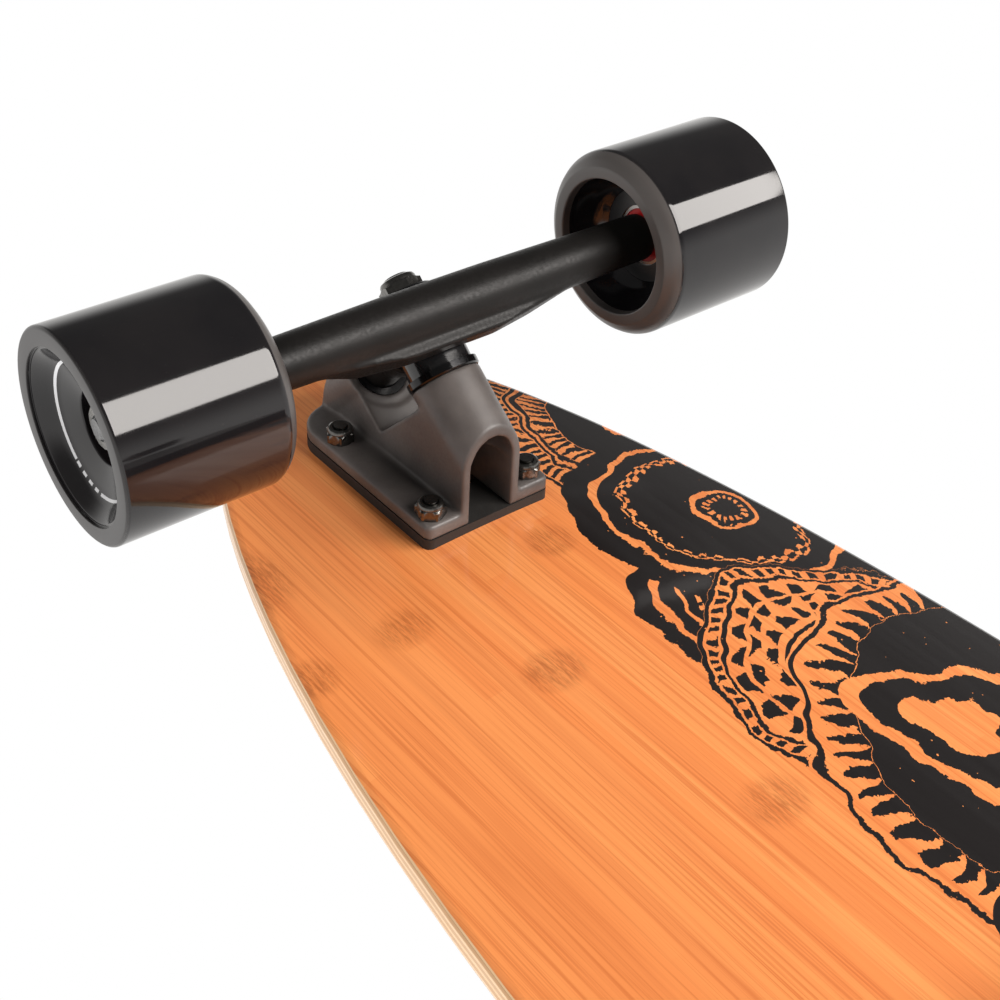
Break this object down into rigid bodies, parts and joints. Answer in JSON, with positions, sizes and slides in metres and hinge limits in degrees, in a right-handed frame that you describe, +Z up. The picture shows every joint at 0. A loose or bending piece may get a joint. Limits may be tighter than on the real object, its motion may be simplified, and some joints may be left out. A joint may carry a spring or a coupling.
{
  "type": "electric skateboard",
  "caption": "Electric longboard: concave bamboo-faced deck, reverse-kingpin trucks, urethane wheels, rear hub motors and an underside battery case.",
  "frame": {"origin": "on the ground under the middle of the deck", "axes": "+X towards the nose, +Y to the rider's left when facing the nose, +Z up with the wheels on the ground"},
  "size_m": [0.97, 0.2626, 0.1266],
  "materials": {
    "maple_plies": "clear lacquer",
    "bamboo_face": "gloss clear coat",
    "grip_sheet": "abrasive grit",
    "black_rubber": "satin",
    "cast_metal": "satin black powder coat",
    "bushing_urethane": "gloss",
    "cup_urethane": "satin",
    "plated_steel": "zinc plated",
    "black_steel": "black oxide, oiled",
    "axle_steel": "ground",
    "tread_urethane": "gloss",
    "core_plastic": "moulded",
    "bearing_steel": "polished",
    "motor_housing": "black anodised",
    "magnet_nickel": "nickel plated",
    "stator_steel": "laminated",
    "copper_wire": "enamelled",
    "enclosure_plastic": "moulded texture",
    "gasket_foam": "matte",
    "cell_wrap": "shrink wrap",
    "tray_plastic": "moulded",
    "circuit_board": "solder mask",
    "heatsink": "anodised",
    "socket_plastic": "moulded",
    "button_metal": "bead blasted",
    "gland_plastic": "moulded"
  },
  "bodies": {
    "deck": {"deck_plies": "maple_plies", "bottom_veneer": "bamboo_face", "grip_tape": "grip_sheet", "riser_pads": "black_rubber", "mounting_bolts": "black_steel", "mounting_nuts": "black_steel", "front_baseplate": "cast_metal", "rear_baseplate": "cast_metal", "front_pivot_cup": "cup_urethane", "rear_pivot_cup": "cup_urethane", "kingpins": "black_steel", "kingpin_nuts": "black_steel", "cup_washers": "plated_steel", "front_board_bushing": "bushing_urethane", "front_road_bushing": "bushing_urethane", "rear_board_bushing": "bushing_urethane", "rear_road_bushing": "bushing_urethane", "enclosure_shell": "enclosure_plastic", "enclosure_gasket": "gasket_foam", "enclosure_screws": "black_steel", "battery_cells": "cell_wrap", "battery_tray": "tray_plastic", "battery_management_board": "circuit_board", "motor_controller": "heatsink", "charge_port": "socket_plastic", "button_bezel": "button_metal", "cable_glands": "gland_plastic"},
    "front_truck": {"front_hanger": "cast_metal", "front_axle": "axle_steel", "front_axle_nuts": "plated_steel", "front_inner_races": "bearing_steel", "front_bearing_spacers": "axle_steel", "front_speed_rings": "axle_steel"},
    "rear_truck": {"rear_hanger": "cast_metal", "rear_axle": "axle_steel", "rear_axle_nuts": "plated_steel", "rear_stators": "stator_steel", "rear_windings": "copper_wire", "rear_inner_races": "bearing_steel"},
    "power_switch": {"power_button": "button_metal"},
    "front_left_wheel": {"front_left_tyre": "tread_urethane", "front_left_core": "core_plastic", "front_left_bearings": "bearing_steel"},
    "rear_left_wheel": {"rear_left_tyre": "tread_urethane", "rear_left_rotor": "motor_housing", "rear_left_magnets": "magnet_nickel", "rear_left_motor_cover": "motor_housing", "rear_left_bearings": "bearing_steel"},
    "front_right_wheel": {"front_right_tyre": "tread_urethane", "front_right_core": "core_plastic", "front_right_bearings": "bearing_steel"},
    "rear_right_wheel": {"rear_right_tyre": "tread_urethane", "rear_right_rotor": "motor_housing", "rear_right_magnets": "magnet_nickel", "rear_right_motor_cover": "motor_housing", "rear_right_bearings": "bearing_steel"}
  },
  "joints": [
    {"name": "front_steer", "type": "hinge", "parent": "deck", "child": "front_truck", "pos_m": [0.3869, 0, 0.04772], "axis": [0.6639, 0, 0.7478], "range_deg": [-12, 12], "stiffness_Nm_per_rad": 60, "deforming": ["front_board_bushing", "front_road_bushing"]},
    {"name": "rear_steer", "type": "hinge", "parent": "deck", "child": "rear_truck", "pos_m": [-0.3869, 0, 0.04772], "axis": [-0.6639, 0, 0.7478], "range_deg": [-12, 12], "stiffness_Nm_per_rad": 60, "deforming": ["rear_board_bushing", "rear_road_bushing"]},
    {"name": "front_left_spin", "type": "hinge", "parent": "front_truck", "child": "front_left_wheel", "pos_m": [0.3769, 0, 0.0335], "axis": [0, 1, 0], "continuous": true},
    {"name": "front_right_spin", "type": "hinge", "parent": "front_truck", "child": "front_right_wheel", "pos_m": [0.3769, 0, 0.0335], "axis": [0, 1, 0], "continuous": true},
    {"name": "rear_left_spin", "type": "hinge", "parent": "rear_truck", "child": "rear_left_wheel", "pos_m": [-0.3769, 0, 0.0335], "axis": [0, 1, 0], "continuous": true},
    {"name": "rear_right_spin", "type": "hinge", "parent": "rear_truck", "child": "rear_right_wheel", "pos_m": [-0.3769, 0, 0.0335], "axis": [0, 1, 0], "continuous": true},
    {"name": "power_press", "type": "slide", "parent": "deck", "child": "power_switch", "axis": [0, 1, 0], "range_m": [0, 0.0012], "stiffness_N_per_m": 1500}
  ]
}
